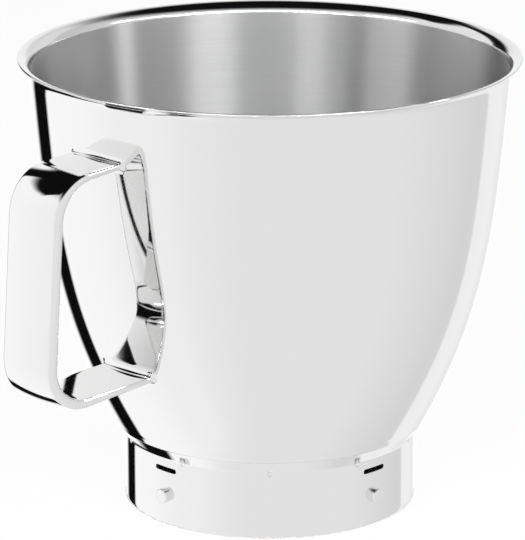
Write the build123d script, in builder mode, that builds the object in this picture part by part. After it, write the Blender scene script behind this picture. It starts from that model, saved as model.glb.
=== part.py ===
"""Stainless steel stand mixer bowl, in millimetres.

The bowl's axis is Z and its foot stands on Z = 0. The handle points towards -X.
The shell is one deep drawing with a flared lip. A drawn foot collar wraps the shell's bottom corner,
carries four bayonet pins and has a narrow slot above each pin. One solid cast strap handle is welded
to the shell's side.
"""

import os
from math import cos, radians, sin, sqrt

from build123d import *

os.makedirs("parts", exist_ok=True)

# Shell sheet: radii and heights are of its outer face, slopes are degrees from the vertical
rim_diameter = 226.0
rim_height = 206.3
shell_wall = 1.0
lip_radius = 5.1
mouth_slope = 4.7
upper_pull = 68.6
seam_diameter = 145.0
seam_height = 39.8
seam_slope = 26.9
lower_pull = 60.5
corner_radius = 3.0
dish_slope = 70.0
sheet_rounding = 0.45  # rounding of a sheet's bare edge, as a share of its wall

# Foot collar: its flange wraps the shell's corner and ends flush with the wall
collar_wall = 1.2
flange_width = 2.7
neck_inset = 4.9
neck_radius = 7.15
slot_length = 13.0
slot_width = 2.2
slot_height = 26.0
fitting_count = 4

# Bayonet pins, riveted through the collar
pin_diameter = 6.8
pin_reach = 3.0
pin_rounding = 0.8
pin_height = 13.8
rivet_diameter = 3.2
rivet_head_diameter = 7.0
rivet_head_reach = 1.3
rivet_head_rounding = 0.6

# Handle strap: flat inside, crowned outside, thin at its two roots and thick in the grip
strap_width = 31.0
grip_thickness = 6.2
root_thickness = 3.0
grip_crown = 1.1
edge_rounding = 0.42  # rounding of the strap's long edges, as a share of its edge thickness
upper_root_drop = 29.5
lower_root_rise = 36.6
upper_reach = 34.2
upper_bend_drop = 2.2
upper_bend_radius = 19.5
lower_reach = 59.4
lower_bend_drop = 3.0
lower_bend_radius = 18.5
upper_taper = 42.0
lower_taper = 62.0
root_burial = 8.0
station_spacing = 6.0
weld_radius = 2.6
weld_toe = 0.1

# Derived sizes
rim_radius = rim_diameter / 2
mouth_radius = rim_radius - lip_radius * cos(radians(mouth_slope))
mouth_height = rim_height - shell_wall - lip_radius * (1 - sin(radians(mouth_slope)))
upper_root_height = rim_height - upper_root_drop
lower_root_height = seam_height + lower_root_rise


def up_the_wall(slope):
    """Direction up a line that leans outwards by slope degrees."""
    return Vector(sin(radians(slope)), cos(radians(slope)))


def out_and_down(slope):
    """Direction square to up_the_wall, on its outer side."""
    return Vector(cos(radians(slope)), -sin(radians(slope)))


# Shell profile: seam and mouth are where the wall's one cubic curve starts and ends
seam = Vector(seam_diameter / 2, seam_height)
mouth = Vector(mouth_radius, mouth_height)
corner_centre = seam - out_and_down(seam_slope) * corner_radius
dish_edge = corner_centre + out_and_down(dish_slope) * corner_radius
dish_radius = dish_edge.X / cos(radians(dish_slope))
dish_centre = Vector(0, dish_edge.Y + dish_radius * sin(radians(dish_slope)))
dish_bottom = dish_centre.Y - dish_radius
lip_centre = mouth + out_and_down(mouth_slope) * lip_radius

# Collar profile: the flange's foot is the sharp line seen under the wall
flange_foot = seam - up_the_wall(seam_slope) * flange_width
collar_radius = flange_foot.X - neck_inset
neck_height = flange_foot.Y - sqrt(neck_inset * (2 * neck_radius - neck_inset))


def draw_wall(inset):
    """Line of the shell's wall from the seam to the mouth, inset from its outer face."""
    return Bezier(
        seam - out_and_down(seam_slope) * inset,
        seam - out_and_down(seam_slope) * inset + up_the_wall(seam_slope) * lower_pull,
        mouth - out_and_down(mouth_slope) * inset - up_the_wall(mouth_slope) * upper_pull,
        mouth - out_and_down(mouth_slope) * inset,
    )


def draw_shell_to_mouth(inset):
    """Line of the shell from the middle of its dished bottom to the mouth, inset from its outer face."""
    CenterArc(dish_centre, dish_radius - inset, -90, 90 - dish_slope)
    CenterArc(corner_centre, corner_radius - inset, -dish_slope, dish_slope - seam_slope)
    draw_wall(inset)


# Bowl shell
with BuildPart() as bowl_shell:
    with BuildSketch(Plane.XZ) as shell_section:
        with BuildLine():
            for inset in (0, shell_wall):
                draw_shell_to_mouth(inset)
                CenterArc(lip_centre, lip_radius + inset, 180 - mouth_slope, mouth_slope - 90)
            Line((0, dish_bottom), (0, dish_bottom + shell_wall))
            Line((rim_radius, rim_height - shell_wall), (rim_radius, rim_height))
        make_face()
        fillet(shell_section.vertices().sort_by(Axis.X)[-2:], sheet_rounding * shell_wall)
    revolve(axis=Axis.Z)

# Everything inside the shell's outer face, for what seats on it
with BuildPart() as envelope:
    with BuildSketch(Plane.XZ) as envelope_section:
        with BuildLine():
            draw_shell_to_mouth(0)
            Polyline(mouth, (mouth_radius, rim_height), (0, rim_height), (0, dish_bottom))
        make_face()
    revolve(axis=Axis.Z)

# The shell set in by the weld toe: the handle's weld fillets start on it, so they meet the wall thin
with BuildPart() as weld_seat:
    with BuildSketch(Plane.XZ):
        with BuildLine():
            seat_line = draw_wall(weld_toe)
            Polyline(seat_line @ 1, (0, mouth_height), (0, seam_height), seat_line @ 0)
        make_face()
    revolve(axis=Axis.Z)

# Cutter for one slot and one rivet hole, through the collar's wall on the +X side
with BuildPart() as fitting_cutter:
    with BuildSketch(Plane.YZ.offset(collar_radius - 2 * collar_wall)):
        with Locations((0, slot_height)):
            SlotOverall(slot_length, slot_width)
        with Locations((0, pin_height)):
            Circle(rivet_diameter / 2)
    extrude(amount=2 * collar_wall + neck_inset)

# Foot collar
with BuildPart() as foot_collar:
    with BuildSketch(Plane.XZ) as collar_section:
        with BuildLine():
            Line((collar_radius, 0), (collar_radius, neck_height))
            TangentArc((collar_radius, neck_height), flange_foot, tangent=(0, 1))
            Line(flange_foot, seam)
            offset(amount=collar_wall, side=Side.LEFT)
        make_face()
        add(envelope_section.sketch_local, mode=Mode.SUBTRACT)
        fillet(collar_section.vertices().group_by(Axis.Y)[0], sheet_rounding * collar_wall)
    revolve(axis=Axis.Z)
    with PolarLocations(0, fitting_count):
        add(fitting_cutter.part, mode=Mode.SUBTRACT)

# Bayonet pin on the +X side: its head seats outside the collar and its rivet head inside
with BuildPart() as bayonet_pin:
    with BuildSketch(Plane.XZ) as pin_section:
        with Locations((collar_radius - collar_wall / 2, pin_height)):
            Rectangle(collar_wall / 2 + pin_reach, pin_diameter / 2, align=Align.MIN)
            Rectangle(
                collar_wall / 2 + rivet_head_reach,
                rivet_head_diameter / 2,
                align=(Align.MAX, Align.MIN),
            )
        fillet(pin_section.vertices().group_by(Axis.X)[-1].sort_by(Axis.Y)[-1], pin_rounding)
        fillet(pin_section.vertices().group_by(Axis.X)[0].sort_by(Axis.Y)[-1], rivet_head_rounding)
    revolve(axis=Axis((0, 0, pin_height), (1, 0, 0)))
    add(foot_collar.part, mode=Mode.SUBTRACT)


def wall_point(height):
    """Point of the shell's outer line at a height between the seam and the mouth."""
    level = Axis((0, height), (1, 0))
    return draw_wall(0).find_intersection_points(level)[0]


# Handle spine, mid-way through the strap, from inside the shell and back into it
upper_root = wall_point(upper_root_height)
lower_root = wall_point(lower_root_height)
upper_bend = upper_root + Vector(upper_reach, -upper_bend_drop)
lower_bend = lower_root + Vector(lower_reach, -lower_bend_drop)
with BuildLine() as spine_line:
    FilletPolyline(
        upper_root - (upper_bend - upper_root).normalized() * root_burial,
        upper_bend,
        lower_bend,
        lower_root - (lower_bend - lower_root).normalized() * root_burial,
        radius=(upper_bend_radius, lower_bend_radius),
    )
spine = Plane((0, 0, 0), x_dir=(-1, 0, 0), z_dir=(0, 1, 0)).from_local_coords(spine_line.wire())


def strap_thickness(distance):
    """Thickness of the strap's middle, distance along the spine from its upper end."""
    from_upper_root = (distance - root_burial) / upper_taper
    from_lower_root = (spine.length - root_burial - distance) / lower_taper
    share = min(1.0, max(0.0, min(from_upper_root, from_lower_root)))
    return root_thickness + (grip_thickness - root_thickness) * share * share * (3 - 2 * share)


# Handle: lofted through sections along its spine, flat face towards the shell
station_count = round(spine.length / station_spacing)
with BuildPart() as handle:
    for station in range(station_count + 1):
        share = station / station_count
        thickness = strap_thickness(share * spine.length)
        crown = grip_crown * thickness / grip_thickness
        side = strap_width / 2
        crown_foot = crown - thickness / 2
        with BuildSketch(Plane(spine @ share, x_dir=(0, 1, 0), z_dir=spine % share)) as strap_section:
            with BuildLine():
                Polyline(
                    (-side, crown_foot),
                    (-side, thickness / 2),
                    (side, thickness / 2),
                    (side, crown_foot),
                )
                ThreePointArc((-side, crown_foot), (0, -thickness / 2), (side, crown_foot))
            make_face()
            fillet(strap_section.vertices(), edge_rounding * (thickness - crown))
    loft()
    add(weld_seat.part)
    seat_face = handle.faces().sort_by(SortBy.AREA)[-1]
    fillet([edge for loop in seat_face.inner_wires() for edge in loop.edges()], weld_radius)
    add(envelope.part, mode=Mode.SUBTRACT)

for piece, name in ((bowl_shell, "bowl_shell"), (foot_collar, "foot_collar"), (handle, "handle")):
    piece.part.label = name
    export_step(piece.part, f"parts/{name}.step")

for number in range(fitting_count):
    pin = bayonet_pin.part.rotate(Axis.Z, number * 360 / fitting_count)
    pin.label = f"bayonet_pin_{number + 1}"
    export_step(pin, f"parts/{pin.label}.step")
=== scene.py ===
"""Stand mixer bowl in mirror-polished and brushed steel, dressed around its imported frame.

Lengths are millimetres in the frame's axes until a mesh is made, which is in metres. The bowl's axis
is Z, its foot stands on Z = 0 and its handle points towards -X.
"""

import logging
from collections.abc import Sequence
from dataclasses import dataclass, field, replace
from enum import Enum
from math import cos, pi, radians, sin

import bpy
import numpy as np
from mathutils import Matrix
from numpy.typing import NDArray


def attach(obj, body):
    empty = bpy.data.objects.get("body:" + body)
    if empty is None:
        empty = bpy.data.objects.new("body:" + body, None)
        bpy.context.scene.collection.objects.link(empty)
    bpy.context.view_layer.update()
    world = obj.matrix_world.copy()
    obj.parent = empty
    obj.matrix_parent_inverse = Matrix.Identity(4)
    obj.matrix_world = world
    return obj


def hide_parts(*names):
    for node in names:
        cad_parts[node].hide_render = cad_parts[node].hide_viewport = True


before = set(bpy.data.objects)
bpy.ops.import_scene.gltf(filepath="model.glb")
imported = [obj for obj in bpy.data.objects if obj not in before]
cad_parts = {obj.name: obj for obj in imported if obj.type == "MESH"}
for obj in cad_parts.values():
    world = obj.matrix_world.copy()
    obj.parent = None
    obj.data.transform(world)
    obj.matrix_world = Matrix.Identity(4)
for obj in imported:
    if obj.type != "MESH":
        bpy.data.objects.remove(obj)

Array = NDArray[np.float64]
Indices = NDArray[np.int64]
Input = float | tuple[float, ...] | bpy.types.NodeSocket

MM = 0.001
SHARP_ANGLE = 50.0  # edges that turn by more degrees than this stay crisp
CLOUD_SCALE, CLOUD_DETAIL = 22.0, 3.0  # noise of the polish's haze
WIPE_SCALE, WIPE_DETAIL = (40.0, 40.0, 900.0), 4.0  # noise of the wipe marks, along X, Y and Z
WIPE_HEIGHT = 0.00001  # in metres
log = logging.getLogger("mixer_bowl")


class Slot(Enum):
    """Material slots of the record."""

    BOWL = "bowl_steel"
    COLLAR = "collar_steel"
    HANDLE = "handle_steel"
    PIN = "pin_steel"


# Curves and surfaces


def arc(
    centre: Array | tuple[float, float], radius: float, start: float, end: float, count: int
) -> Array:
    """Points of a circular arc: centre plus radius times the cosine and sine of each angle.

    Args:
        centre: the circle's centre, as radius and height.
        radius: the circle's radius.
        start: first angle in degrees, 0 along the radius and 90 up.
        end: last angle in degrees.
        count: number of points.

    Returns:
        Points as rows of radius and height.
    """
    angles = np.radians(np.linspace(start, end, count))
    return np.column_stack((centre[0] + radius * np.cos(angles), centre[1] + radius * np.sin(angles)))


def cubic(poles: tuple[Array, Array, Array, Array], count: int) -> Array:
    """Points of a cubic curve: its four poles weighted by the Bernstein polynomials.

    Args:
        poles: the curve's two ends and the two poles between them.
        count: number of points.

    Returns:
        Points as rows of radius and height.
    """
    t = np.linspace(0.0, 1.0, count)[:, None]
    rest = 1.0 - t
    return (
        rest**3 * poles[0]
        + 3 * rest**2 * t * poles[1]
        + 3 * rest * t**2 * poles[2]
        + t**3 * poles[3]
    )


def revolved(profile: Array, segments: int) -> Array:
    """Grid of a profile turned about Z: radius times cosine and sine of the turn, height kept.

    Args:
        profile: rows of radius and height, the outer side run upwards.
        segments: number of columns round the axis.

    Returns:
        Points shaped rows, segments, 3.
    """
    turn = np.linspace(0.0, 2 * pi, segments, endpoint=False)
    radius, height = profile[:, :1], profile[:, 1:]
    return np.stack(
        (radius * np.cos(turn), radius * np.sin(turn), np.broadcast_to(height, (len(profile), segments))),
        axis=-1,
    )


def grid_quads(rows: int, columns: int, rows_close: bool, columns_close: bool) -> Indices:
    """Quads of a grid of points, each with its corners in turn about the outward side.

    Args:
        rows: number of rows.
        columns: number of columns.
        rows_close: whether the last row joins the first.
        columns_close: whether the last column joins the first.

    Returns:
        Rows of four indices into the flattened grid.
    """
    row = np.arange(rows if rows_close else rows - 1)[:, None]
    column = np.arange(columns if columns_close else columns - 1)[None, :]
    next_row, next_column = (row + 1) % rows, (column + 1) % columns
    corners = (
        row * columns + column,
        row * columns + next_column,
        next_row * columns + next_column,
        next_row * columns + column,
    )
    return np.stack(np.broadcast_arrays(*corners), axis=-1).reshape(-1, 4)


def fan(loop: Indices, pole: int) -> list[list[int]]:
    """Triangles from each side of a closed loop of point indices to one point."""
    return np.column_stack((loop, np.roll(loop, -1), np.full_like(loop, pole))).tolist()


def between(loops: Indices) -> list[list[int]]:
    """Quads between loops of point indices, each loop lying inside the one before it."""
    ahead = np.roll(loops, -1, axis=1)
    return np.stack((loops[:-1], ahead[:-1], ahead[1:], loops[1:]), axis=-1).reshape(-1, 4).tolist()


def dot_rows(first: Array, second: Array) -> Array:
    """Dot product of each pair of rows, as a column."""
    return np.einsum("ij,ij->i", first, second)[:, None]


def unit_rows(rows: Array) -> Array:
    """Each row over its own length."""
    return rows / np.linalg.norm(rows, axis=1)[:, None]


# Objects


def look(azimuth: float, elevation: float) -> tuple[Array, Array, Array]:
    """Directions of a lamp or camera that looks in at the bowl: right, up and back.

    Back is the direction it stands in: the sine and minus the cosine of the azimuth, both times the
    cosine of the elevation, and the sine of the elevation. Right is level, and up is square to both.

    Args:
        azimuth: degrees from -Y towards +X.
        elevation: degrees above the level.

    Returns:
        The three directions.
    """
    turn, rise = radians(azimuth), radians(elevation)
    back = np.array((sin(turn) * cos(rise), -cos(turn) * cos(rise), sin(rise)))
    right = np.array((cos(turn), sin(turn), 0.0))
    return right, np.cross(back, right), back


def placing(right: Array, up: Array, back: Array, place: Array) -> Matrix:
    """Matrix of an object with these axes, standing at a place in metres."""
    return Matrix(np.vstack((np.column_stack((right, up, back, place)), (0, 0, 0, 1))))


def new_object(name: str, data: bpy.types.ID) -> bpy.types.Object:
    """New object, linked into the scene.

    Args:
        name: the object's name.
        data: its mesh, lamp or camera.

    Returns:
        The object.
    """
    item = bpy.data.objects.new(name, data)
    bpy.context.scene.collection.objects.link(item)
    return item


def new_piece(
    name: str, points: Array, faces: list[list[int]], finishes: list[bpy.types.Material]
) -> bpy.types.Object:
    """Smooth-shaded mesh piece that rides on the root body.

    Args:
        name: the piece's name.
        points: rows of X, Y and Z in millimetres.
        faces: lists of point indices.
        finishes: materials in the order of the faces' material indices.

    Returns:
        The new object.
    """
    mesh = bpy.data.meshes.new(name)
    mesh.from_pydata(points * MM, [], faces)
    mesh.validate()
    mesh.shade_smooth()
    mesh.set_sharp_from_angle(angle=radians(SHARP_ANGLE))
    for finish in finishes:
        mesh.materials.append(finish)
    piece = new_object(name, mesh)
    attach(piece, "root")
    log.info("%s: %d points, %d faces", name, len(mesh.vertices), len(mesh.polygons))
    return piece


# Finishes


def feed(tree: bpy.types.NodeTree, node: bpy.types.Node, inputs: dict[str | int, Input]) -> None:
    """Sets a node's inputs: a plain value goes on the socket itself, and a socket is linked to it.

    Args:
        tree: the node's tree.
        node: the node.
        inputs: the value or the source of each input, by the input's name or number.
    """
    for label, source in inputs.items():
        if isinstance(source, bpy.types.NodeSocket):
            tree.links.new(source, node.inputs[label])
        else:
            node.inputs[label].default_value = source


def add_node(
    tree: bpy.types.NodeTree, kind: str, inputs: dict[str | int, Input] | None = None, **settings: str
) -> bpy.types.bpy_prop_collection:
    """Makes a shader node.

    Args:
        tree: the tree that the node goes into.
        kind: the node's type, without the "ShaderNode" that it starts with.
        inputs: the value or the source of each input.
        settings: the node's own settings, such as its operation.

    Returns:
        The node's outputs.
    """
    node = tree.nodes.new(f"ShaderNode{kind}")
    for label, choice in settings.items():
        setattr(node, label, choice)
    feed(tree, node, inputs or {})
    return node.outputs


def grey(level: float) -> tuple[float, float, float, float]:
    """Opaque grey of a level."""
    return (level, level, level, 1.0)


def polish_group() -> bpy.types.NodeTree:
    """Group for polished sheet: faint cloudy haze in the roughness and fine wipe marks in the normal.

    The roughness is the base roughness plus the haze times a cloudy noise. The wipe marks are a noise
    drawn out sideways, because it is squeezed along Z.

    Returns:
        The group.
    """
    group = bpy.data.node_groups.new("polish_haze", "ShaderNodeTree")
    for label in ("Haze", "Base Roughness", "Wipe Depth"):
        group.interface.new_socket(label, in_out="INPUT", socket_type="NodeSocketFloat")
    group.interface.new_socket("Roughness", in_out="OUTPUT", socket_type="NodeSocketFloat")
    group.interface.new_socket("Normal", in_out="OUTPUT", socket_type="NodeSocketVector")
    given = group.nodes.new("NodeGroupInput").outputs
    place = add_node(group, "TexCoord")["Object"]
    cloud = add_node(
        group, "TexNoise", {"Vector": place, "Scale": CLOUD_SCALE, "Detail": CLOUD_DETAIL}
    )["Fac"]
    haze = add_node(
        group, "Math", {0: cloud, 1: given["Haze"], 2: given["Base Roughness"]}, operation="MULTIPLY_ADD"
    )
    squeezed = add_node(group, "Mapping", {"Vector": place, "Scale": WIPE_SCALE})["Vector"]
    wipes = add_node(group, "TexNoise", {"Vector": squeezed, "Scale": 1.0, "Detail": WIPE_DETAIL})["Fac"]
    bump = add_node(
        group, "Bump", {"Distance": WIPE_HEIGHT, "Strength": given["Wipe Depth"], "Height": wipes}
    )
    sink = group.nodes.new("NodeGroupOutput")
    feed(group, sink, {"Roughness": haze[0], "Normal": bump["Normal"]})
    return group


@dataclass(frozen=True)
class PolishedSteel:
    """Mirror-polished stainless steel."""

    name: str
    color: float = 0.86
    blue_share: float = 0.998
    roughness: float = 0.03
    haze: float = 0.015
    wipe_depth: float = 0.0

    def material(self, polish: bpy.types.NodeTree) -> bpy.types.Material:
        """Makes the material, with its haze and wipe marks from the shared group.

        Args:
            polish: the polish group.

        Returns:
            The material.
        """
        finish = bpy.data.materials.new(self.name)
        finish.use_nodes = True
        tree = finish.node_tree
        marks = tree.nodes.new("ShaderNodeGroup")
        marks.node_tree = polish
        feed(
            tree,
            marks,
            {"Haze": self.haze, "Base Roughness": self.roughness, "Wipe Depth": self.wipe_depth},
        )
        inputs = {
            "Base Color": (self.color, self.color, self.color * self.blue_share, 1.0),
            "Metallic": 1.0,
            "Roughness": marks.outputs["Roughness"],
        }
        if self.wipe_depth:
            inputs["Normal"] = marks.outputs["Normal"]
        feed(tree, tree.nodes["Principled BSDF"], inputs)
        return finish


@dataclass(frozen=True)
class BrushedSteel:
    """Stainless steel brushed in rings about Z."""

    name: str
    color: float = 0.58
    color_spread: tuple[float, float] = (0.9, 1.08)
    roughness: float = 0.4
    roughness_spread: float = 0.06
    anisotropy: float = 1.0
    anisotropy_turn: float = 0.25
    ring_scale: float = 2600.0
    ring_depth: float = 0.12
    ring_height: float = 0.00005
    turn_scale: float = 3.0
    grain_detail: float = 3.0
    grain_roughness: float = 0.6

    def material(self) -> bpy.types.Material:
        """Makes the material: rings of noise that change fast along Z and the radius, slowly round Z.

        The noise is read at the level direction from the axis times the turn scale, raised by the
        height and the radius times the ring scale.

        Returns:
            The material.
        """
        finish = bpy.data.materials.new(self.name)
        finish.use_nodes = True
        tree = finish.node_tree
        place = add_node(tree, "SeparateXYZ", {"Vector": add_node(tree, "TexCoord")["Object"]})
        flat = add_node(tree, "CombineXYZ", {"X": place["X"], "Y": place["Y"]})["Vector"]
        radius = add_node(tree, "VectorMath", {0: flat}, operation="LENGTH")["Value"]
        turn = add_node(tree, "VectorMath", {0: flat}, operation="NORMALIZE")["Vector"]
        slow = add_node(tree, "VectorMath", {0: turn, "Scale": self.turn_scale}, operation="SCALE")
        across = add_node(tree, "Math", {0: place["Z"], 1: radius}, operation="ADD")[0]
        fast = add_node(tree, "Math", {0: across, 1: self.ring_scale}, operation="MULTIPLY")[0]
        rings = add_node(tree, "CombineXYZ", {"Z": fast})["Vector"]
        strand = add_node(tree, "VectorMath", {0: slow["Vector"], 1: rings}, operation="ADD")["Vector"]
        noise = {"Scale": 1.0, "Detail": self.grain_detail, "Roughness": self.grain_roughness}
        grain = add_node(tree, "TexNoise", {"Vector": strand, **noise})["Fac"]
        dull, bright = (self.color * share for share in self.color_spread)
        tone = add_node(tree, "MapRange", {"Value": grain, "To Min": dull, "To Max": bright})["Result"]
        smooth, rough = self.roughness - self.roughness_spread, self.roughness + self.roughness_spread
        polish = add_node(tree, "MapRange", {"Value": grain, "To Min": smooth, "To Max": rough})["Result"]
        bump = add_node(
            tree, "Bump", {"Strength": self.ring_depth, "Distance": self.ring_height, "Height": grain}
        )
        tangent = add_node(tree, "Tangent", direction_type="RADIAL", axis="Z")
        shader = tree.nodes["Principled BSDF"]
        shader.distribution = "GGX"
        feed(
            tree,
            shader,
            {
                "Base Color": tone,
                "Metallic": 1.0,
                "Roughness": polish,
                "Anisotropic": self.anisotropy,
                "Anisotropic Rotation": self.anisotropy_turn,
                "Normal": bump["Normal"],
                "Tangent": tangent["Tangent"],
            },
        )
        return finish


@dataclass(frozen=True)
class Finishes:
    """Every material of the object."""

    wall: bpy.types.Material
    lip: bpy.types.Material
    inside: bpy.types.Material
    collar: bpy.types.Material
    handle: bpy.types.Material
    pin: bpy.types.Material

    @classmethod
    def build(cls) -> "Finishes":
        """Makes the materials around one shared polish group.

        Returns:
            All finishes.
        """
        polish = polish_group()
        return cls(
            wall=PolishedSteel("polished_wall").material(polish),
            lip=PolishedSteel("satin_lip", color=0.7, roughness=0.1).material(polish),
            inside=BrushedSteel("brushed_inside").material(),
            collar=PolishedSteel("polished_collar", roughness=0.035).material(polish),
            handle=PolishedSteel("polished_handle", roughness=0.04).material(polish),
            pin=PolishedSteel("turned_pin", roughness=0.08, wipe_depth=0.3).material(polish),
        )


# Sub-assemblies


def up_the_wall(slope: float) -> Array:
    """Direction up a line that leans outwards by slope degrees."""
    return np.array((sin(radians(slope)), cos(radians(slope))))


def out_and_down(slope: float) -> Array:
    """Direction square to up_the_wall, on its outer side."""
    return np.array((cos(radians(slope)), -sin(radians(slope))))


@dataclass
class BowlShell:
    """Drawn shell: a dished bottom, one long curved wall and a flared lip.

    The bare edge's rounding runs edge_turn degrees up and down from level. The lip's upper side
    starts lip_start below the mouth, and its top band of satin_band isn't brushed.
    """

    rim_radius: float = 113.0
    rim_height: float = 206.3
    wall: float = 1.0
    lip_radius: float = 5.1
    mouth_slope: float = 4.7
    upper_pull: float = 68.6
    seam_radius: float = 72.5
    seam_height: float = 39.8
    seam_slope: float = 26.9
    lower_pull: float = 60.5
    corner_radius: float = 3.0
    dish_slope: float = 70.0
    edge_turn: float = 80.0
    lip_start: float = 1.0
    satin_band: float = 4.6
    dish_rows: int = 14
    corner_rows: int = 7
    outer_rows: int = 90
    inner_rows: int = 70
    lip_rows: int = 14
    edge_rows: int = 7
    segments: int = 360
    seam: Array = field(init=False)
    mouth: Array = field(init=False)
    corner_centre: Array = field(init=False)
    lip_centre: Array = field(init=False)

    def __post_init__(self) -> None:
        """Works out where the wall starts and ends, and the centres of the arcs beyond its two ends."""
        slope = radians(self.mouth_slope)
        flare = self.lip_radius * np.array((cos(slope), 1 - sin(slope)))
        self.seam = np.array((self.seam_radius, self.seam_height))
        self.mouth = np.array((self.rim_radius, self.rim_height - self.wall)) - flare
        self.corner_centre = self.seam - out_and_down(self.seam_slope) * self.corner_radius
        self.lip_centre = self.mouth + out_and_down(self.mouth_slope) * self.lip_radius

    def wall_line(self, inset: float, count: int) -> Array:
        """Line of the wall: one cubic curve from the seam to the mouth.

        Args:
            inset: distance in from the outer face.
            count: number of points.

        Returns:
            Points as rows of radius and height.
        """
        low = self.seam - out_and_down(self.seam_slope) * inset
        high = self.mouth - out_and_down(self.mouth_slope) * inset
        low_pole = low + up_the_wall(self.seam_slope) * self.lower_pull
        high_pole = high - up_the_wall(self.mouth_slope) * self.upper_pull
        return cubic((low, low_pole, high_pole, high), count)

    def bottom_line(self, inset: float) -> Array:
        """Line of the dished bottom and its corner, from the axis outwards: two tangent arcs.

        Args:
            inset: distance in from the outer face.

        Returns:
            Points as rows of radius and height, without the seam's own.
        """
        edge = self.corner_centre + out_and_down(self.dish_slope) * self.corner_radius
        radius = edge[0] / cos(radians(self.dish_slope))
        middle = (0.0, edge[1] + radius * sin(radians(self.dish_slope)))
        dish = arc(middle, radius - inset, -90.0, -self.dish_slope, self.dish_rows)
        turn = (-self.dish_slope, -self.seam_slope)
        corner = arc(self.corner_centre, self.corner_radius - inset, *turn, self.corner_rows)
        return np.vstack((dish, corner[1:-1]))

    def lip_line(self, inset: float) -> Array:
        """Line of the flared lip from above the mouth to its edge, inset from its outer face."""
        turn = (180 - self.mouth_slope, 90)
        return arc(self.lip_centre, self.lip_radius + inset, *turn, self.lip_rows)[1:]

    def profile(self) -> Array:
        """Closed section from the middle of the bottom, up outside, round the lip and down inside.

        Returns:
            Points as rows of radius and height.
        """
        outside, inside = (
            np.vstack((self.bottom_line(inset), self.wall_line(inset, rows), self.lip_line(inset)))
            for inset, rows in ((0.0, self.outer_rows), (self.wall, self.inner_rows))
        )
        half = self.wall / 2
        middle = (self.rim_radius - half, self.rim_height - half)
        edge = arc(middle, half, -self.edge_turn, self.edge_turn, self.edge_rows)
        outside[-1, 0] = inside[-1, 0] = middle[0]
        return np.vstack((outside, edge, inside[::-1]))

    def build(self, finishes: Finishes) -> bpy.types.Object:
        """Makes the shell in place of its solid: its section turned about Z and closed on the axis.

        Args:
            finishes: the object's materials.

        Returns:
            The shell.
        """
        profile = self.profile()
        ring = profile[1:-1]
        points = revolved(ring, self.segments).reshape(-1, 3)
        foot, top = len(points), len(points) + 1
        points = np.vstack((points, ((0, 0, profile[0, 1]), (0, 0, profile[-1, 1]))))
        first = np.arange(self.segments)
        last = (len(ring) - 1) * self.segments + first
        faces = grid_quads(len(ring), self.segments, False, True).tolist()
        faces += fan(first[::-1], foot) + fan(last, top)
        sides = [finishes.wall, finishes.inside, finishes.lip]
        shell = new_piece("shell_wall", points, faces, sides)
        self.dress_sides(shell)
        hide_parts("bowl_shell")
        return shell

    def dress_sides(self, shell: bpy.types.Object) -> None:
        """Gives the inside its brushed finish and the lip's upper side its satin one.

        A face is inside if its middle lies nearer the axis than the sheet's middle line and above it.
        From a little below the mouth up, it is on the upper side if its middle is farther from the
        lip's centre than the sheet's middle is. Of that side only the band at the top is satin.

        Args:
            shell: the shell, polished all over before.
        """
        mesh = shell.data
        centres = np.empty(len(mesh.polygons) * 3)
        mesh.polygons.foreach_get("center", centres)
        centres = centres.reshape(-1, 3) / MM
        radius, height = np.hypot(centres[:, 0], centres[:, 1]), centres[:, 2]
        half = self.wall / 2
        middle = np.vstack((self.bottom_line(half), self.wall_line(half, self.inner_rows)))
        middle_radius = np.interp(height, middle[:, 1], middle[:, 0])
        middle_height = np.interp(radius, middle[:, 0], middle[:, 1])
        wall_top = self.mouth[1] - self.lip_start
        inner = (radius < middle_radius) & (height > middle_height) & (height < wall_top)
        from_lip = np.hypot(radius - self.lip_centre[0], height - self.lip_centre[1])
        upper = (height >= wall_top) & (from_lip > self.lip_radius + half)
        brushed = inner | (upper & (height < self.rim_height - self.satin_band))
        index = np.where(brushed, 1, np.where(upper, 2, 0))
        mesh.polygons.foreach_set("material_index", index.astype(np.int32))
        mesh.update()


@dataclass(frozen=True)
class Block:
    """Block of the collar's grid that gives way to a slot or a dimple."""

    middle: int
    half_columns: int
    low_row: int
    high_row: int

    def border(self) -> tuple[Indices, Indices]:
        """Rows and columns of the points round the block, anticlockwise from outside.

        Returns:
            Rows, and columns counted from the block's middle column.
        """
        across = np.arange(-self.half_columns, self.half_columns)
        up = np.arange(self.low_row, self.high_row)
        right = np.full_like(up, self.half_columns)
        low, high = np.full_like(across, self.low_row), np.full_like(across, self.high_row)
        rows = np.concatenate((low, up, high, up[::-1] + 1))
        return rows, np.concatenate((across, right, -across, -right))

    def holds(self, rows: Indices, columns: Indices, segments: int) -> NDArray[np.bool_]:
        """Whether the quads that start at these rows and columns lie in the block."""
        from_left = (columns - self.middle + self.half_columns) % segments
        return (rows >= self.low_row) & (rows < self.high_row) & (from_left < 2 * self.half_columns)


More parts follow.
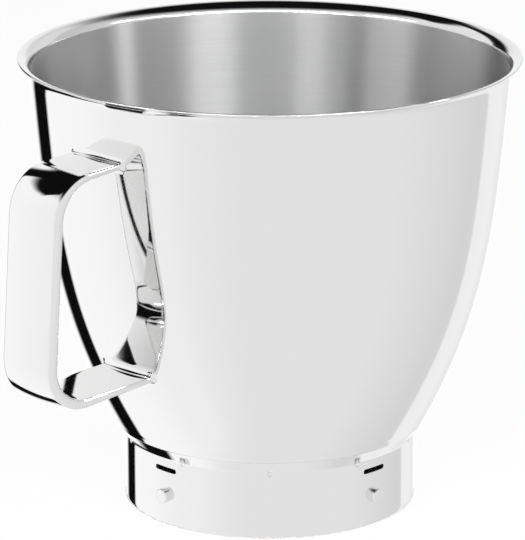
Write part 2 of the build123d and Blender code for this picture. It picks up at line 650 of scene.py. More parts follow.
@dataclass
class FootCollar:
    """Drawn collar with four slots and a ring of small spot-weld dimples.

    Its neck is a quick bend and a straight flare, which ends in a narrow ledge under the flange that
    wraps the shell's corner. Slots and dimples take the place of blocks of the collar's grid. A slot's
    block reaches past its ends by slot_side, and from its middle by slot_below and slot_above, and
    margin_steps place the rings from its border to its margin. A dimple's block reaches up and down by
    dimple_reach times its radius, and dimple_dish gives the radius and the depth of its rings as
    shares of its own.
    """

    shell: BowlShell
    wall: float = 1.2
    flange_width: float = 2.7
    neck_inset: float = 4.9
    neck_slope: float = 35.0
    bend_radius: float = 2.0
    ledge: float = 0.4
    ledge_drop: float = 0.07
    edge_rounding: float = 0.54
    slot_length: float = 13.0
    slot_width: float = 2.2
    slot_height: float = 26.0
    slot_count: int = 4
    slot_rounding: float = 0.18
    slot_margin: float = 0.35
    slot_side: float = 2.9
    slot_below: float = 2.32
    slot_above: float = 1.72
    margin_steps: tuple[float, ...] = (0.4, 0.75, 1.0)
    dimple_count: int = 10
    dimple_turn: float = 225.0
    dimple_height: float = 30.6
    dimple_radius: float = 1.3
    dimple_depth: float = 0.4
    dimple_reach: float = 1.6
    dimple_columns: int = 3
    dimple_dish: tuple[tuple[float, float], ...] = (
        (1.5, 0.0),
        (1.15, 0.0),
        (1.02, 0.03),
        (0.95, 0.25),
        (0.88, 0.62),
        (0.8, 0.85),
        (0.6, 0.97),
        (0.3, 1.0),
    )
    segments: int = 480
    straight_rows: int = 24
    neck_rows: int = 12
    inner_bend_rows: int = 10
    seat_rows: int = 6
    edge_rows: int = 5
    radius: float = field(init=False)
    inside: float = field(init=False)
    neck_height: float = field(init=False)
    flange_foot: Array = field(init=False)
    flare_top: Array = field(init=False)

    def __post_init__(self) -> None:
        """Works out the collar's radii and where its neck starts and ends."""
        self.flange_foot = self.shell.seam - up_the_wall(self.shell.seam_slope) * self.flange_width
        self.radius = self.flange_foot[0] - self.neck_inset
        self.inside = self.radius - self.wall
        self.flare_top = self.flange_foot - (self.ledge, self.ledge_drop)
        slope = radians(self.neck_slope)
        flare_width = self.neck_inset - self.ledge - self.bend_radius * (1 - cos(slope))
        flare_height = flare_width * cos(slope) / sin(slope)
        self.neck_height = self.flare_top[1] - self.bend_radius * sin(slope) - flare_height

    def straight(self, radius: float) -> Array:
        """Upright line from above the foot's rounding to where the neck starts."""
        heights = np.linspace(self.edge_rounding, self.neck_height, self.straight_rows)
        return np.column_stack((np.full(self.straight_rows, radius), heights))

    def outer_line(self) -> Array:
        """Outer line from above the foot's rounding, up the neck and the flange to the seam.

        Returns:
            Points as rows of radius and height.
        """
        bend = (self.radius + self.bend_radius, self.neck_height)
        turned = arc(bend, self.bend_radius, 180, 180 - self.neck_slope, self.neck_rows)[1:]
        flare = np.linspace(turned[-1], self.flare_top, self.neck_rows)[1:]
        flange = np.linspace(self.flange_foot, self.shell.seam, self.edge_rows)
        return np.vstack((self.straight(self.radius), turned, flare, flange))

    def inner_line(self) -> Array:
        """Inner line from the seam down the shell's corner and the neck to the foot's rounding.

        The neck's inner face is its outer one moved in by the wall: the bend keeps its centre, and the
        flare's top moves square to the flare.

        Returns:
            Points as rows of radius and height.
        """
        shell = self.shell
        turn = (-shell.seam_slope, -shell.dish_slope)
        seat = arc(shell.corner_centre, shell.corner_radius, *turn, self.seat_rows)[1:]
        bend = (self.radius + self.bend_radius, self.neck_height)
        turn = (180 - self.neck_slope, 180)
        turned = arc(bend, self.bend_radius + self.wall, *turn, self.inner_bend_rows)[:-1]
        slope = radians(self.neck_slope)
        top = self.flare_top + self.wall * np.array((-cos(slope), sin(slope)))
        flare = np.linspace(top, turned[0], self.seat_rows)[:-1]
        return np.vstack((seat, flare, turned, self.straight(self.inside)[::-1]))

    def foot_line(self) -> Array:
        """Line round the foot's two small edges, from inside to outside.

        Returns:
            Points as rows of radius and height.
        """
        step = self.edge_rounding
        inner = arc((self.inside + step, step), step, 180, 270, self.edge_rows)[1:]
        outer = arc((self.radius - step, step), step, 270, 360, self.edge_rows)[:-1]
        return np.vstack((inner, outer))

    def slot_blocks(self, heights: Array) -> list[Block]:
        """Blocks of the outer grid that give way to the slots.

        Args:
            heights: heights of the outer line's rows.

        Returns:
            One block for each slot.
        """
        low = int(np.searchsorted(heights, self.slot_height - self.slot_below)) - 1
        high = int(np.searchsorted(heights, self.slot_height + self.slot_above))
        reach = round((self.slot_length / 2 + self.slot_side) / self.radius * self.segments / (2 * pi))
        middles = (number * self.segments // self.slot_count for number in range(self.slot_count))
        return [Block(middle, reach, low, high) for middle in middles]

    def dimple_blocks(self, heights: Array) -> list[Block]:
        """Blocks of the outer grid that give way to the dimples.

        Args:
            heights: heights of the outer line's rows.

        Returns:
            One block for each dimple.
        """
        reach = self.dimple_reach * self.dimple_radius
        low = int(np.searchsorted(heights, self.dimple_height - reach)) - 1
        high = int(np.searchsorted(heights, self.dimple_height + reach)) + 1
        turns = (self.dimple_turn / 360 + number / self.dimple_count for number in range(self.dimple_count))
        middles = (round(turn * self.segments) % self.segments for turn in turns)
        return [Block(middle, self.dimple_columns, low, high) for middle in middles]

    @staticmethod
    def on_cylinder(radius: float, places: Array, turn: float) -> Array:
        """Points of a cylinder, turned about Z: the way out is the root of radius² less side².

        Args:
            radius: the cylinder's radius.
            places: rows of sideways place and height.
            turn: the turn in radians.

        Returns:
            Rows of X, Y and Z.
        """
        side, height = places.T
        out = np.sqrt(radius**2 - side**2)
        cosine, sine = cos(turn), sin(turn)
        return np.column_stack((out * cosine - side * sine, out * sine + side * cosine, height))

    def slot_rings(self, block: Block) -> list[Array]:
        """Rings of points from a block's border into its slot and out to the border on the inner face.

        A border point's partner on the slot is the nearest point of its outline, which is a distance
        from the slot's centre line. The edges are rounded: the outline opens by the rounding times one
        less the sine of an angle, while the depth is the rounding times one less its cosine.

        Args:
            block: the slot's block of the grid.

        Returns:
            The rings between the two borders.
        """
        turn = block.middle * 2 * pi / self.segments
        rows, columns = block.border()
        bearing = columns * 2 * pi / self.segments
        height = self.straight(self.radius)[rows, 1]
        half = (self.slot_length - self.slot_width) / 2
        centre = np.clip(self.radius * np.sin(bearing), -half, half)
        centre = np.column_stack((centre, np.full_like(centre, self.slot_height)))
        away = unit_rows(np.column_stack((self.radius * np.sin(bearing), height)) - centre)
        reach = self.slot_width / 2
        margin = centre + away * (reach + self.slot_margin)
        angles = np.radians(np.linspace(0, 90, self.edge_rows))
        opening = self.slot_rounding * (1 - np.sin(angles))
        sinking = self.slot_rounding * (1 - np.cos(angles))
        rings = []
        for radius, sign in ((self.radius, -1), (self.inside, 1)):
            border = np.column_stack((radius * np.sin(bearing), height))
            side = [
                self.on_cylinder(radius, border + (margin - border) * share, turn)
                for share in self.margin_steps
            ]
            side += [
                self.on_cylinder(radius + sign * sink, centre + away * (reach + open_by), turn)
                for open_by, sink in zip(opening, sinking)
            ]
            rings += side if sign < 0 else side[::-1]
        return rings

    def dimple_rings(self, block: Block, outer: Array) -> list[Array]:
        """Rings of points from a block's border down into its dimple: a flat-bottomed dish.

        Args:
            block: the dimple's block of the grid.
            outer: the collar's outer line.

        Returns:
            The rings, ending in the single point at the middle.
        """
        turn = block.middle * 2 * pi / self.segments
        rows, columns = block.border()
        border = np.column_stack((columns * 2 * pi / self.segments * self.radius, outer[rows, 1]))
        middle = np.array((0.0, self.dimple_height))
        away = unit_rows(border - middle)
        rings = []
        for spread, depth in self.dimple_dish:
            spot = middle + away * self.dimple_radius * spread
            bearing = turn + spot[:, 0] / self.radius
            radius = np.interp(spot[:, 1], outer[:, 1], outer[:, 0]) - depth * self.dimple_depth
            rings.append(np.column_stack((radius * np.cos(bearing), radius * np.sin(bearing), spot[:, 1])))
        radius = np.interp(self.dimple_height, outer[:, 1], outer[:, 0]) - self.dimple_depth
        rings.append(np.array([[radius * cos(turn), radius * sin(turn), self.dimple_height]]))
        return rings

    def build(self, finishes: Finishes) -> bpy.types.Object:
        """Makes the collar in place of its solid: a turned grid with rings in its slots and dimples.

        Args:
            finishes: the object's materials.

        Returns:
            The collar.
        """
        outer, inner = self.outer_line(), self.inner_line()
        profile = np.vstack((outer, inner, self.foot_line()))
        points = [revolved(profile, self.segments).reshape(-1, 3)]
        quads = grid_quads(len(profile), self.segments, True, True)
        starts = np.divmod(quads[:, 0], self.segments)
        kept = np.ones(len(quads), dtype=bool)
        count = len(points[0])
        faces = []
        mirror_row = len(outer) + len(inner) - 1
        for block in self.slot_blocks(outer[:, 1]):
            rings = self.slot_rings(block)
            rows, columns = block.border()
            column = (block.middle + columns) % self.segments
            new = count + np.arange(len(rings) * len(rows)).reshape(-1, len(rows))
            facing = (mirror_row - rows) * self.segments + column
            faces += between(np.vstack((rows * self.segments + column, new, facing)))
            points += rings
            count += new.size
            back = replace(block, low_row=mirror_row - block.high_row, high_row=mirror_row - block.low_row)
            kept &= ~(block.holds(*starts, self.segments) | back.holds(*starts, self.segments))
        for block in self.dimple_blocks(outer[:, 1]):
            rings = self.dimple_rings(block, outer)
            rows, columns = block.border()
            column = (block.middle + columns) % self.segments
            new = count + np.arange((len(rings) - 1) * len(rows)).reshape(-1, len(rows))
            count += new.size
            faces += between(np.vstack((rows * self.segments + column, new))) + fan(new[-1], count)
            points += rings
            count += 1
            kept &= ~block.holds(*starts, self.segments)
        faces += quads[kept].tolist()
        collar = new_piece("collar_ring", np.vstack(points), faces, [finishes.collar])
        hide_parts("foot_collar")
        return collar


@dataclass
class BayonetPins:
    """Four turned pins: a round head outside the collar and a rivet head inside it.

    Both heads seat a little inside the collar's sheet, and end_ring is a ring on the rivet head's end.
    """

    collar: FootCollar
    radius: float = 3.4
    reach: float = 3.0
    rounding: float = 0.8
    height: float = 13.8
    shank_radius: float = 1.6
    rivet_radius: float = 3.5
    rivet_reach: float = 1.3
    rivet_rounding: float = 0.6
    seat: float = 0.3
    end_ring: float = 1.5
    face_rows: int = 6
    head_rows: int = 9
    tail_rows: int = 7
    segments: int = 64

    def profile(self) -> Array:
        """Section from the middle of the outer face to the middle of the rivet head.

        Returns:
            Rows of distance from the bowl's axis and distance from the pin's.
        """
        face = self.collar.radius + self.reach
        base = self.collar.inside - self.rivet_reach
        head_centre = (face - self.rounding, self.radius - self.rounding)
        head = arc(head_centre, self.rounding, 0, 90, self.head_rows)
        tail_centre = (base + self.rivet_rounding, self.rivet_radius - self.rivet_rounding)
        tail = arc(tail_centre, self.rivet_rounding, 90, 180, self.tail_rows)
        shank = (
            (self.collar.radius - self.seat, self.radius),
            (self.collar.radius - self.seat, self.shank_radius),
            (self.collar.inside + self.seat, self.shank_radius),
            (self.collar.inside + self.seat, self.rivet_radius),
        )
        heights = np.linspace(0, head[0, 1], self.face_rows + 1)[:-1]
        flat = np.column_stack((np.full(self.face_rows, face), heights))
        return np.vstack((flat, head, shank, tail, ((base, self.end_ring), (base, 0.0))))

    def build(self, finishes: Finishes) -> list[bpy.types.Object]:
        """Makes each pin in place of its solid: its section turned about the pin's level axis.

        Args:
            finishes: the object's materials.

        Returns:
            The pins, the first towards +X and the next towards +Y.
        """
        profile = self.profile()
        turn = np.linspace(0, 2 * pi, self.segments, endpoint=False)
        out, ring = profile[1:-1, :1], profile[1:-1, 1:]
        along = np.broadcast_to(out, (len(out), self.segments))
        points = np.stack((along, ring * np.cos(turn), ring * np.sin(turn)), axis=-1).reshape(-1, 3)
        tip, tail = len(points), len(points) + 1
        points = np.vstack((points, ((profile[0, 0], 0, 0), (profile[-1, 0], 0, 0))))
        points[:, 2] += self.height
        first = np.arange(self.segments)
        last = (len(out) - 1) * self.segments + first
        faces = grid_quads(len(out), self.segments, False, True)[:, ::-1].tolist()
        faces += fan(first, tip) + fan(last[::-1], tail)
        pins = []
        for number in range(self.collar.slot_count):
            angle = number * 2 * pi / self.collar.slot_count
            swing = np.array(((cos(angle), sin(angle), 0), (-sin(angle), cos(angle), 0), (0, 0, 1)))
            pin = new_piece(f"turned_pin_{number + 1}", points @ swing, faces, [finishes.pin])
            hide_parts(f"bayonet_pin_{number + 1}")
            pins.append(pin)
        return pins


@dataclass
class StrapHandle:
    """Cast strap: flat inside, crowned outside, bent twice and welded to the shell at both roots.

    Its roots end root_sink inside the shell's sheet, where rings shrunk by cap_shares close them. Near
    a root, up to weld_clearance times the weld's radius, the weld's own rows replace the sections.
    """

    shell: BowlShell
    width: float = 31.0
    grip_thickness: float = 6.2
    root_thickness: float = 3.0
    crown: float = 1.1
    edge_rounding: float = 0.42
    upper_root_drop: float = 29.5
    lower_root_rise: float = 36.6
    upper_reach: float = 34.2
    upper_bend_drop: float = 2.2
    upper_bend_radius: float = 19.5
    lower_reach: float = 59.4
    lower_bend_drop: float = 3.0
    lower_bend_radius: float = 18.5
    upper_taper: float = 42.0
    lower_taper: float = 62.0
    weld_radius: float = 2.6
    root_sink: float = 0.35
    cap_shares: tuple[float, ...] = (0.75, 0.5, 0.25, 0.02)
    weld_clearance: float = 1.6
    weld_rows: int = 13
    corner_points: int = 9
    crown_points: int = 25
    flat_points: int = 17
    bend_steps: int = 44
    run_step: float = 1.6
    wall_points: int = 600
    wall_step: float = 0.05
    root_searches: int = 12
    wall: Array = field(init=False)
    upper_root: Array = field(init=False)
    lower_root: Array = field(init=False)
    upper_bend: Array = field(init=False)
    lower_bend: Array = field(init=False)

    def __post_init__(self) -> None:
        """Works out the wall's line and the spine's corners, as distance from the axis and height."""
        self.wall = self.shell.wall_line(0, self.wall_points)
        upper_height = self.shell.rim_height - self.upper_root_drop
        lower_height = self.shell.seam_height + self.lower_root_rise
        self.upper_root = np.array((self.wall_radius(upper_height), upper_height))
        self.lower_root = np.array((self.wall_radius(lower_height), lower_height))
        self.upper_bend = self.upper_root + (self.upper_reach, -self.upper_bend_drop)
        self.lower_bend = self.lower_root + (self.lower_reach, -self.lower_bend_drop)

    def wall_radius(self, height: Array | float) -> Array | float:
        """Radius of the shell's outer face at a height."""
        return np.interp(height, self.wall[:, 1], self.wall[:, 0])

    def spine(self) -> tuple[Array, Array, Array]:
        """Spine of the strap: three straight runs joined by two tangent arcs.

        Returns:
            Points and directions as rows of distance and height, and the distance run at each.
        """
        corners = (self.upper_root, self.upper_bend, self.lower_bend, self.lower_root)
        runs = [end - start for start, end in zip(corners, corners[1:])]
        along = [run / np.hypot(*run) for run in runs]
        points, directions = [self.upper_root[None]], [along[0][None]]
        start = self.upper_root
        for corner, before, after, radius in (
            (self.upper_bend, along[0], along[1], self.upper_bend_radius),
            (self.lower_bend, along[1], along[2], self.lower_bend_radius),
        ):
            turn = np.arccos(before @ after)
            cut = radius * np.tan(turn / 2)
            inward = after - before * (before @ after)
            inward /= np.hypot(*inward)
            arc_start = corner - before * cut
            steps = np.linspace(0, turn, self.bend_steps + 1)[:, None]
            count = max(2, round(np.hypot(*(arc_start - start)) / self.run_step))
            share = np.linspace(0, 1, count + 1)[1:, None]
            points.append(start + (arc_start - start) * share)
            directions.append(np.repeat(before[None], count, axis=0))
            sine, cosine = np.sin(steps[1:]), np.cos(steps[1:])
            points.append(arc_start + before * radius * sine + inward * radius * (1 - cosine))
            directions.append(before * cosine + inward * sine)
            start = points[-1][-1]
        count = max(2, round(np.hypot(*(self.lower_root - start)) / self.run_step))
        points.append(start + (self.lower_root - start) * np.linspace(0, 1, count + 1)[1:, None])
        directions.append(np.repeat(along[2][None], count, axis=0))
        line, facing = np.vstack(points), np.vstack(directions)
        run = np.concatenate(([0.0], np.cumsum(np.hypot(*np.diff(line, axis=0).T))))
        return line, facing, run

    def thickness(self, run: Array) -> Array:
        """Thickness at the middle: a smooth rise from the nearer root's to the grip's.

        The rise is the share of the taper squared, times three less twice the share.

        Args:
            run: the distance run along the spine at each section.

        Returns:
            The thickness of each section.
        """
        share = np.clip(np.minimum(run / self.upper_taper, (run[-1] - run) / self.lower_taper), 0, 1)
        rise = self.grip_thickness - self.root_thickness
        return self.root_thickness + rise * share**2 * (3 - 2 * share)

    def section(self, thickness: Array) -> tuple[Array, Array, Array, Array]:
        """Sections across the strap: flat inside, crowned outside, four rounded edges.

        Each section is two arcs on its inner edges, two on its outer edges and the crown's long arc.

        Args:
            thickness: the middle thickness of each section.

        Returns:
            Sideways and outward places, and the sideways and outward parts of the surface's normal,
            each shaped sections, points round.
        """
        full = thickness[:, None]
        crown = self.crown * full / self.grip_thickness
        half = self.width / 2
        bow = (half**2 + crown**2) / (2 * crown)
        rounding = self.edge_rounding * (full - crown)
        edge = half - rounding
        lift = np.sqrt((bow - rounding) ** 2 - edge**2)
        tilt = np.arctan2(lift, edge)
        corner = np.linspace(0, 1, self.corner_points)[None]
        over = tilt + np.linspace(0, 1, self.crown_points)[None, 1:-1] * (pi - 2 * tilt)
        inner, outer = rounding - full / 2, full / 2 - bow + lift
        parts = []
        for centre_side, centre_out, radius, angle in (
            (edge, inner, rounding, -pi / 2 + corner * pi / 2),
            (edge, outer, rounding, corner * tilt),
            (0.0, full / 2 - bow, bow, over),
            (-edge, outer, rounding, pi - tilt + corner * tilt),
            (-edge, inner, rounding, pi + corner * pi / 2),
        ):
            cosine, sine = np.cos(angle + 0 * full), np.sin(angle + 0 * full)
            parts.append((centre_side + radius * cosine, centre_out + radius * sine, cosine, sine))
        flat = edge * np.linspace(-1, 1, self.flat_points)[None, 1:-1]
        level = np.zeros_like(flat)
        parts.append((flat, level - full / 2, level, level - 1))
        return tuple(np.concatenate(part, axis=1) for part in zip(*parts))

    def weld(self, places: Array, outward: Array, direction: Array) -> Array:
        """Rows from the strap's end down its weld fillet and into the wall.

        Each line of the strap meets the wall at a corner. A fillet arc touches the line and the wall's
        tangent there: its centre lies on the corner's bisector, at the radius over the sine of half
        the angle.

        Args:
            places: points of the root section.
            outward: the strap's outward normals there.
            direction: the strap's direction away from the wall.

        Returns:
            Points shaped rows, points round, 3.
        """
        travel = np.zeros(len(places))
        for _ in range(self.root_searches):
            spot = places + direction * travel[:, None]
            radius = np.hypot(spot[:, 0], spot[:, 1])
            travel += (self.wall_radius(spot[:, 2]) - radius) / (-direction[0])
        corner = places + direction * travel[:, None]
        normal = self.wall_normal(corner)
        lean = dot_rows(outward, normal) / (normal @ direction)[:, None]
        along = outward - normal * lean * direction
        along = unit_rows(along - normal * dot_rows(along, normal))
        half = np.arccos(np.clip(along @ direction, -1, 1)) / 2
        centre = corner + unit_rows(along + direction) * (self.weld_radius / np.sin(half))[:, None]
        cut = (self.weld_radius / np.tan(half))[:, None]
        start = corner + direction * cut - centre
        end = corner + along * cut - centre
        rows = [centre + self.swing(start, end, share) for share in np.linspace(0, 1, self.weld_rows)]
        rows.append(rows[-1] - normal * self.root_sink)
        return np.stack(rows)

    @staticmethod
    def swing(start: Array, end: Array, share: float) -> Array:
        """Arm part of the way round from one arm to another of the same length.

        Each arm counts by the sine of the angle left to the other one, over the sine of the whole.

        Args:
            start: rows of the arm at share 0.
            end: rows of the arm at share 1.
            share: share of the angle between them.

        Returns:
            Rows of the arm between them.
        """
        cosine = dot_rows(start, end) / dot_rows(start, start)
        angle = np.arccos(np.clip(cosine, -1, 1))
        return (np.sin((1 - share) * angle) * start + np.sin(share * angle) * end) / np.sin(angle)

    def wall_normal(self, places: Array) -> Array:
        """Outward normal of the shell: the radial direction tipped by the wall's slope.

        Args:
            places: points of the shell, as rows of X, Y and Z.

        Returns:
            The normal at each point.
        """
        step = self.wall_step
        slope = (self.wall_radius(places[:, 2] + step) - self.wall_radius(places[:, 2] - step)) / (2 * step)
        radius = np.hypot(places[:, 0], places[:, 1])
        return unit_rows(np.column_stack((places[:, 0] / radius, places[:, 1] / radius, -slope)))

    def cap(self, ring: Array) -> Array:
        """Rows that close a root inside the shell's sheet: the ring shrunk towards its middle.

        Args:
            ring: the root's last row of points.

        Returns:
            Points shaped rows, points round, 3.
        """
        middle = ring.mean(axis=0)
        rows = []
        for share in self.cap_shares:
            spot = middle + (ring - middle) * share
            radius = self.wall_radius(spot[:, 2]) - self.root_sink
            spot[:, 0] = -np.sqrt(radius**2 - spot[:, 1] ** 2)
            rows.append(spot)
        return np.stack(rows)

    def build(self, finishes: Finishes) -> bpy.types.Object:
        """Makes the handle in place of its solid: its sections along the spine, a weld at each root.

        Args:
            finishes: the object's materials.

        Returns:
            The handle.
        """
        line, facing, run = self.spine()
        side, out, normal_side, normal_out = self.section(self.thickness(run))
        spine = np.column_stack((-line[:, 0], np.zeros(len(line)), line[:, 1]))
        ahead = np.column_stack((-facing[:, 0], np.zeros(len(line)), facing[:, 1]))
        sideways = np.array((0.0, 1.0, 0.0))
        outward = np.cross(sideways, ahead)
        places = spine[:, None] + side[..., None] * sideways + out[..., None] * outward[:, None]
        normals = normal_side[..., None] * sideways + normal_out[..., None] * outward[:, None]
        upper = self.weld(places[0], normals[0], ahead[0])
        lower = self.weld(places[-1], normals[-1], -ahead[-1])
        reach = self.weld_radius * self.weld_clearance
        middle = places[(run > reach) & (run < run[-1] - reach)]
        rows = np.concatenate((self.cap(upper[-1])[::-1], upper[::-1], middle, lower, self.cap(lower[-1])))
        count, around = rows.shape[:2]
        points = rows[:, ::-1].reshape(-1, 3)
        first = list(range(around))
        last = [(count - 1) * around + place for place in first]
        closed = grid_quads(count, around, False, True).tolist() + [first[::-1], last]
        handle = new_piece("strap", points, closed, [finishes.handle])
        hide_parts("handle")
        return handle


# Studio


@dataclass(frozen=True)
class Softbox:
    """Softbox aimed at the bowl's mouth: azimuth and rise in degrees, width and depth in metres."""

    azimuth: float
    width: float
    power: float
    rise: float = 24.0
    depth: float = 0.08
    distance: float = 1.6
    aim_height: float = 0.19

    def build(self, name: str, front: float, lit: bpy.types.Collection) -> None:
        """Makes the lamp.

        Args:
            name: the lamp's name.
            front: azimuth of the front in the frame, in degrees.
            lit: the objects that the lamp lights.
        """
        right, up, back = look(front - self.azimuth, self.rise)
        place = np.array((0.0, 0.0, self.aim_height)) + back * self.distance
        data = bpy.data.lights.new(name, "AREA")
        data.shape = "RECTANGLE"
        data.size = self.width
        data.size_y = self.depth
        data.energy = self.power
        lamp = new_object(name, data)
        lamp.matrix_world = placing(right, up, back, place)
        lamp.light_linking.receiver_collection = lit


@dataclass(frozen=True)
class Studio:
    """Pale floor and the soft white tent that the steel mirrors.

    Azimuths are degrees from the front towards the left. The tent's brightness goes by its azimuth: a
    plain front, a right side that dims towards a corner with a bright panel behind it, and a bright
    left side with a black gap behind it. It ends in a black ceiling that starts softly, and far below
    in one plain ground level. The tent is open behind on the left: opening gives the height of its
    edge there, in degrees by azimuth. Softboxes hang under the ceiling and draw the upright bands on
    the brushed inside. They light the shell and the floor only, so the other pieces show no spots.
    """

    front: float = -45.0
    tent: tuple[tuple[float, float], ...] = (
        (-180, 1.11),
        (-170, 1.09),
        (-164, 0.87),
        (-158, 0.88),
        (-147, 0.97),
        (-131, 0.97),
        (-129, 0.75),
        (-119, 0.75),
        (-95, 0.81),
        (-65, 0.87),
        (15, 0.87),
        (40, 0.92),
        (53, 0.97),
        (81, 1.0),
        (105, 1.06),
        (135.8, 1.07),
        (137.3, 0.004),
        (154, 0.004),
        (160, 1.0),
        (170, 1.07),
        (180, 1.11),
    )
    ceiling_edge: tuple[float, float] = (33.0, 57.0)
    opening: tuple[tuple[float, float], ...] = (
        (-180, 90),
        (94, 90),
        (97, 33),
        (107, 34),
        (114, 36),
        (123, 38),
        (136, 40),
        (138, 35.5),
        (160, 35.5),
        (168, 31),
        (174, 90),
        (180, 90),
    )
    opening_blend: float = 2.5
    ground_edge: tuple[float, float] = (-82.0, -62.0)
    ground_level: float = 0.87
    dark_level: float = 0.004
    softboxes: tuple[Softbox, ...] = (
        Softbox(azimuth=-82, width=0.25, power=2.6),
        Softbox(azimuth=-62, width=0.5, power=1.2),
        Softbox(azimuth=-4, width=3.1, power=16.5),
        Softbox(azimuth=-31, width=0.65, power=4.6),
        Softbox(azimuth=22, width=0.4, power=1.9),
        Softbox(azimuth=66, width=0.7, power=3.4),
    )
    ambient: float = 0.6
    floor_size: float = 6.0
    floor_level: float = 0.96
    floor_glow: float = 0.9
    # width in millimetres of a ring round the foot where the floor has no glow: a thin dark line of painted
    # contact shadow
    painted_contact_shadow_ring: float = 0.4

    def build(self, shell: bpy.types.Object, foot_radius: float) -> None:
        """Makes the world, the floor with its closed disc under the foot and a ring of painted contact
        shadow round it, and the lamps over the mouth.

        Args:
            shell: the bowl shell, which the lamps light beside the floor.
            foot_radius: radius of the foot, in millimetres.
        """
        self.build_world()
        lit = bpy.data.collections.new("softbox_lit")
        lit.objects.link(shell)
        # the disc without glow reaches a ring past the foot, which is a painted contact shadow
        lit.objects.link(self.build_floor(foot_radius + self.painted_contact_shadow_ring))
        for number, softbox in enumerate(self.softboxes):
            softbox.build(f"softbox_{number + 1}", self.front, lit)

    def build_world(self) -> None:
        """World: white to the camera, the tent to reflections and a plain level to everything else.

        The azimuth is the arctangent of a direction's two level parts, and its height is the sine that
        its upright part gives. The tent's level by azimuth gives way to the ground's low down, and to
        black over the opening's edge and over the ceiling's, each by a smooth step over the height.
        """
        world = bpy.data.worlds.new("studio")
        bpy.context.scene.world = world
        world.use_nodes = True
        tree = world.node_tree
        tree.nodes.clear()
        turned = add_node(
            tree,
            "Mapping",
            {
                "Vector": add_node(tree, "TexCoord")["Generated"],
                "Rotation": (0.0, 0.0, radians(90.0 - self.front)),
            },
            vector_type="POINT",
        )
        towards = add_node(tree, "SeparateXYZ", {"Vector": turned["Vector"]})
        azimuth = add_node(tree, "Math", {0: towards["Y"], 1: towards["X"]}, operation="ARCTAN2")[0]
        turn = add_node(tree, "MapRange", {"Value": azimuth, "From Min": pi, "From Max": -pi})["Result"]
        height = towards["Z"]
        above_ground = self.above(tree, height, *self.ground_edge)
        tent = self.blend(tree, above_ground, grey(self.ground_level), self.ramp(tree, turn, self.tent))
        edge = self.ramp(tree, turn, [(angle, sin(radians(rise))) for angle, rise in self.opening])
        over_edge = add_node(tree, "Math", {0: height, 1: edge}, operation="SUBTRACT")[0]
        gap = self.above(tree, over_edge, -self.opening_blend, self.opening_blend)
        dark = grey(self.dark_level)
        walled = self.blend(tree, gap, tent, dark)
        whole = self.blend(tree, self.above(tree, height, *self.ceiling_edge), walled, dark)
        path = add_node(tree, "LightPath")
        backdrop = self.blend(tree, path["Is Camera Ray"], grey(self.ambient), grey(1.0))
        seen = self.blend(tree, path["Is Glossy Ray"], backdrop, whole)
        light = add_node(tree, "Background", {"Color": seen})
        add_node(tree, "OutputWorld", {"Surface": light["Background"]})

    @staticmethod
    def ramp(
        tree: bpy.types.NodeTree, turn: bpy.types.NodeSocket, stops: Sequence[tuple[float, float]]
    ) -> bpy.types.NodeSocket:
        """Grey ramp over the whole turn.

        Args:
            tree: the world's tree.
            turn: the socket with the share of the turn, from -180 to 180 degrees.
            stops: azimuths in degrees, each with its level.

        Returns:
            The ramp's colour socket.
        """
        node = tree.nodes.new("ShaderNodeValToRGB")
        elements = node.color_ramp.elements
        for element, (_, level) in zip(elements, (stops[0], stops[-1])):
            element.color = grey(level)
        for angle, level in stops[1:-1]:
            elements.new((angle + 180) / 360).color = grey(level)
        feed(tree, node, {"Fac": turn})
        return node.outputs["Color"]

    @staticmethod
    def above(
        tree: bpy.types.NodeTree, height: bpy.types.NodeSocket, low: float, high: float
    ) -> bpy.types.NodeSocket:
        """Mask that rises smoothly from 0 to 1 between two heights.

        Args:
            tree: the world's tree.
            height: the socket with the sine of the height.
            low: height in degrees where the mask starts.
            high: height in degrees where it is whole.

        Returns:
            The mask's socket.
        """
        limits = {"From Min": sin(radians(low)), "From Max": sin(radians(high))}
        inputs = {"Value": height, **limits}
        return add_node(tree, "MapRange", inputs, interpolation_type="SMOOTHSTEP")["Result"]

    @staticmethod
    def blend(
        tree: bpy.types.NodeTree, share: bpy.types.NodeSocket, first: Input, second: Input
    ) -> bpy.types.NodeSocket:
        """Mix of two colours: the first at share 0 and the second at share 1."""
        return add_node(tree, "Mix", {"Factor": share, "A": first, "B": second}, data_type="RGBA")["Result"]

    def build_floor(self, foot_radius: float) -> bpy.types.Object:
        """Floor: near white with a faint shadow, open to reflections, closed and matt under the foot and in
        a thin ring of painted contact shadow round it.

        Outside the foot's disc it is a matt floor mixed with an even glow, and clear to glossy rays.

        Args:
            foot_radius: radius of the disc, in millimetres, that stays a plain matt floor without glow: the
                foot's own and the ring of painted contact shadow round it.

        Returns:
            The floor.
        """
        finish = bpy.data.materials.new("studio_floor")
        finish.use_nodes = True
        tree = finish.node_tree
        tree.nodes.clear()
        place = add_node(tree, "TexCoord")["Object"]
        radius = add_node(tree, "VectorMath", {0: place}, operation="LENGTH")["Value"]
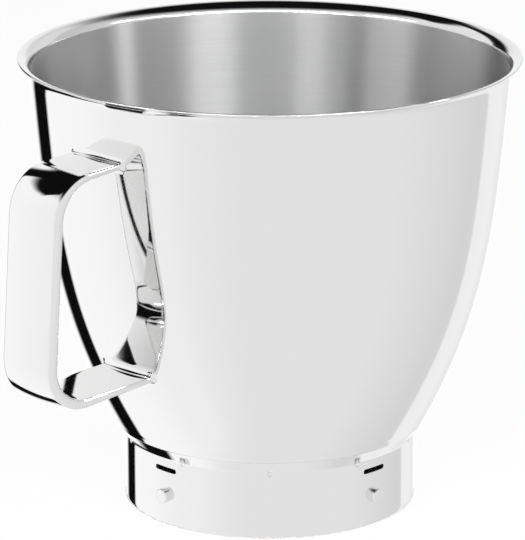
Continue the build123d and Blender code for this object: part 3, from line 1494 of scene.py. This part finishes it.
        # no glow inside the disc; its ring beyond the foot is a painted contact shadow
        outside = add_node(tree, "Math", {0: radius, 1: foot_radius * MM}, operation="GREATER_THAN")[0]
        glow_share = add_node(tree, "Math", {0: outside, 1: self.floor_glow}, operation="MULTIPLY")[0]
        glossy = add_node(tree, "LightPath")["Is Glossy Ray"]
        open_share = add_node(tree, "Math", {0: glossy, 1: outside}, operation="MULTIPLY")[0]
        matt = add_node(tree, "BsdfDiffuse", {"Color": grey(self.floor_level)})["BSDF"]
        glow = add_node(tree, "Emission", {"Color": grey(1.0)})["Emission"]
        clear = add_node(tree, "BsdfTransparent")["BSDF"]
        seen = add_node(tree, "MixShader", {"Fac": glow_share, 1: matt, 2: glow})["Shader"]
        whole = add_node(tree, "MixShader", {"Fac": open_share, 1: seen, 2: clear})["Shader"]
        add_node(tree, "OutputMaterial", {"Surface": whole})
        half = self.floor_size / 2
        corners = [(-half, -half, 0), (half, -half, 0), (half, half, 0), (-half, half, 0)]
        mesh = bpy.data.meshes.new("studio_floor")
        mesh.from_pydata(corners, [], [(0, 1, 2, 3)])
        mesh.materials.append(finish)
        floor = new_object("studio_floor", mesh)
        return floor


@dataclass(frozen=True)
class PhotoCamera:
    """Camera of the photograph, from a fit to the rim, the wall and the foot."""

    azimuth: float = -45.0
    elevation: float = 16.45
    distance: float = 1705.2
    aim_height: float = 105.37
    aim_left: float = 3.29
    focal_px: float = 3748.0
    frame_height_px: float = 540.0
    sensor: float = 36.0
    clip_start: float = 0.01
    clip_end: float = 100.0

    def build(self) -> bpy.types.Object:
        """Makes the camera and sets it as the scene's.

        Returns:
            The camera.
        """
        right, up, back = look(self.azimuth, self.elevation)
        place = np.array((0.0, 0.0, self.aim_height)) - right * self.aim_left + back * self.distance
        data = bpy.data.cameras.new("photo_camera")
        data.sensor_width = self.sensor
        data.lens = self.focal_px * self.sensor / self.frame_height_px
        data.clip_start = self.clip_start
        data.clip_end = self.clip_end
        camera = new_object("photo_camera", data)
        camera.matrix_world = placing(right, up, back, place * MM)
        bpy.context.scene.camera = camera
        return camera


def main() -> None:
    """Builds the studio and every piece."""
    logging.basicConfig(level=logging.INFO, format="%(message)s")
    bpy.context.scene.view_settings.view_transform = "Standard"
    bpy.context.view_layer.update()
    PhotoCamera().build()
    finishes = Finishes.build()
    shell = BowlShell()
    wall = shell.build(finishes)
    collar = FootCollar(shell)
    Studio().build(wall, collar.radius)
    collar.build(finishes)
    BayonetPins(collar).build(finishes)
    StrapHandle(shell).build(finishes)


if __name__ == "__main__":
    main()
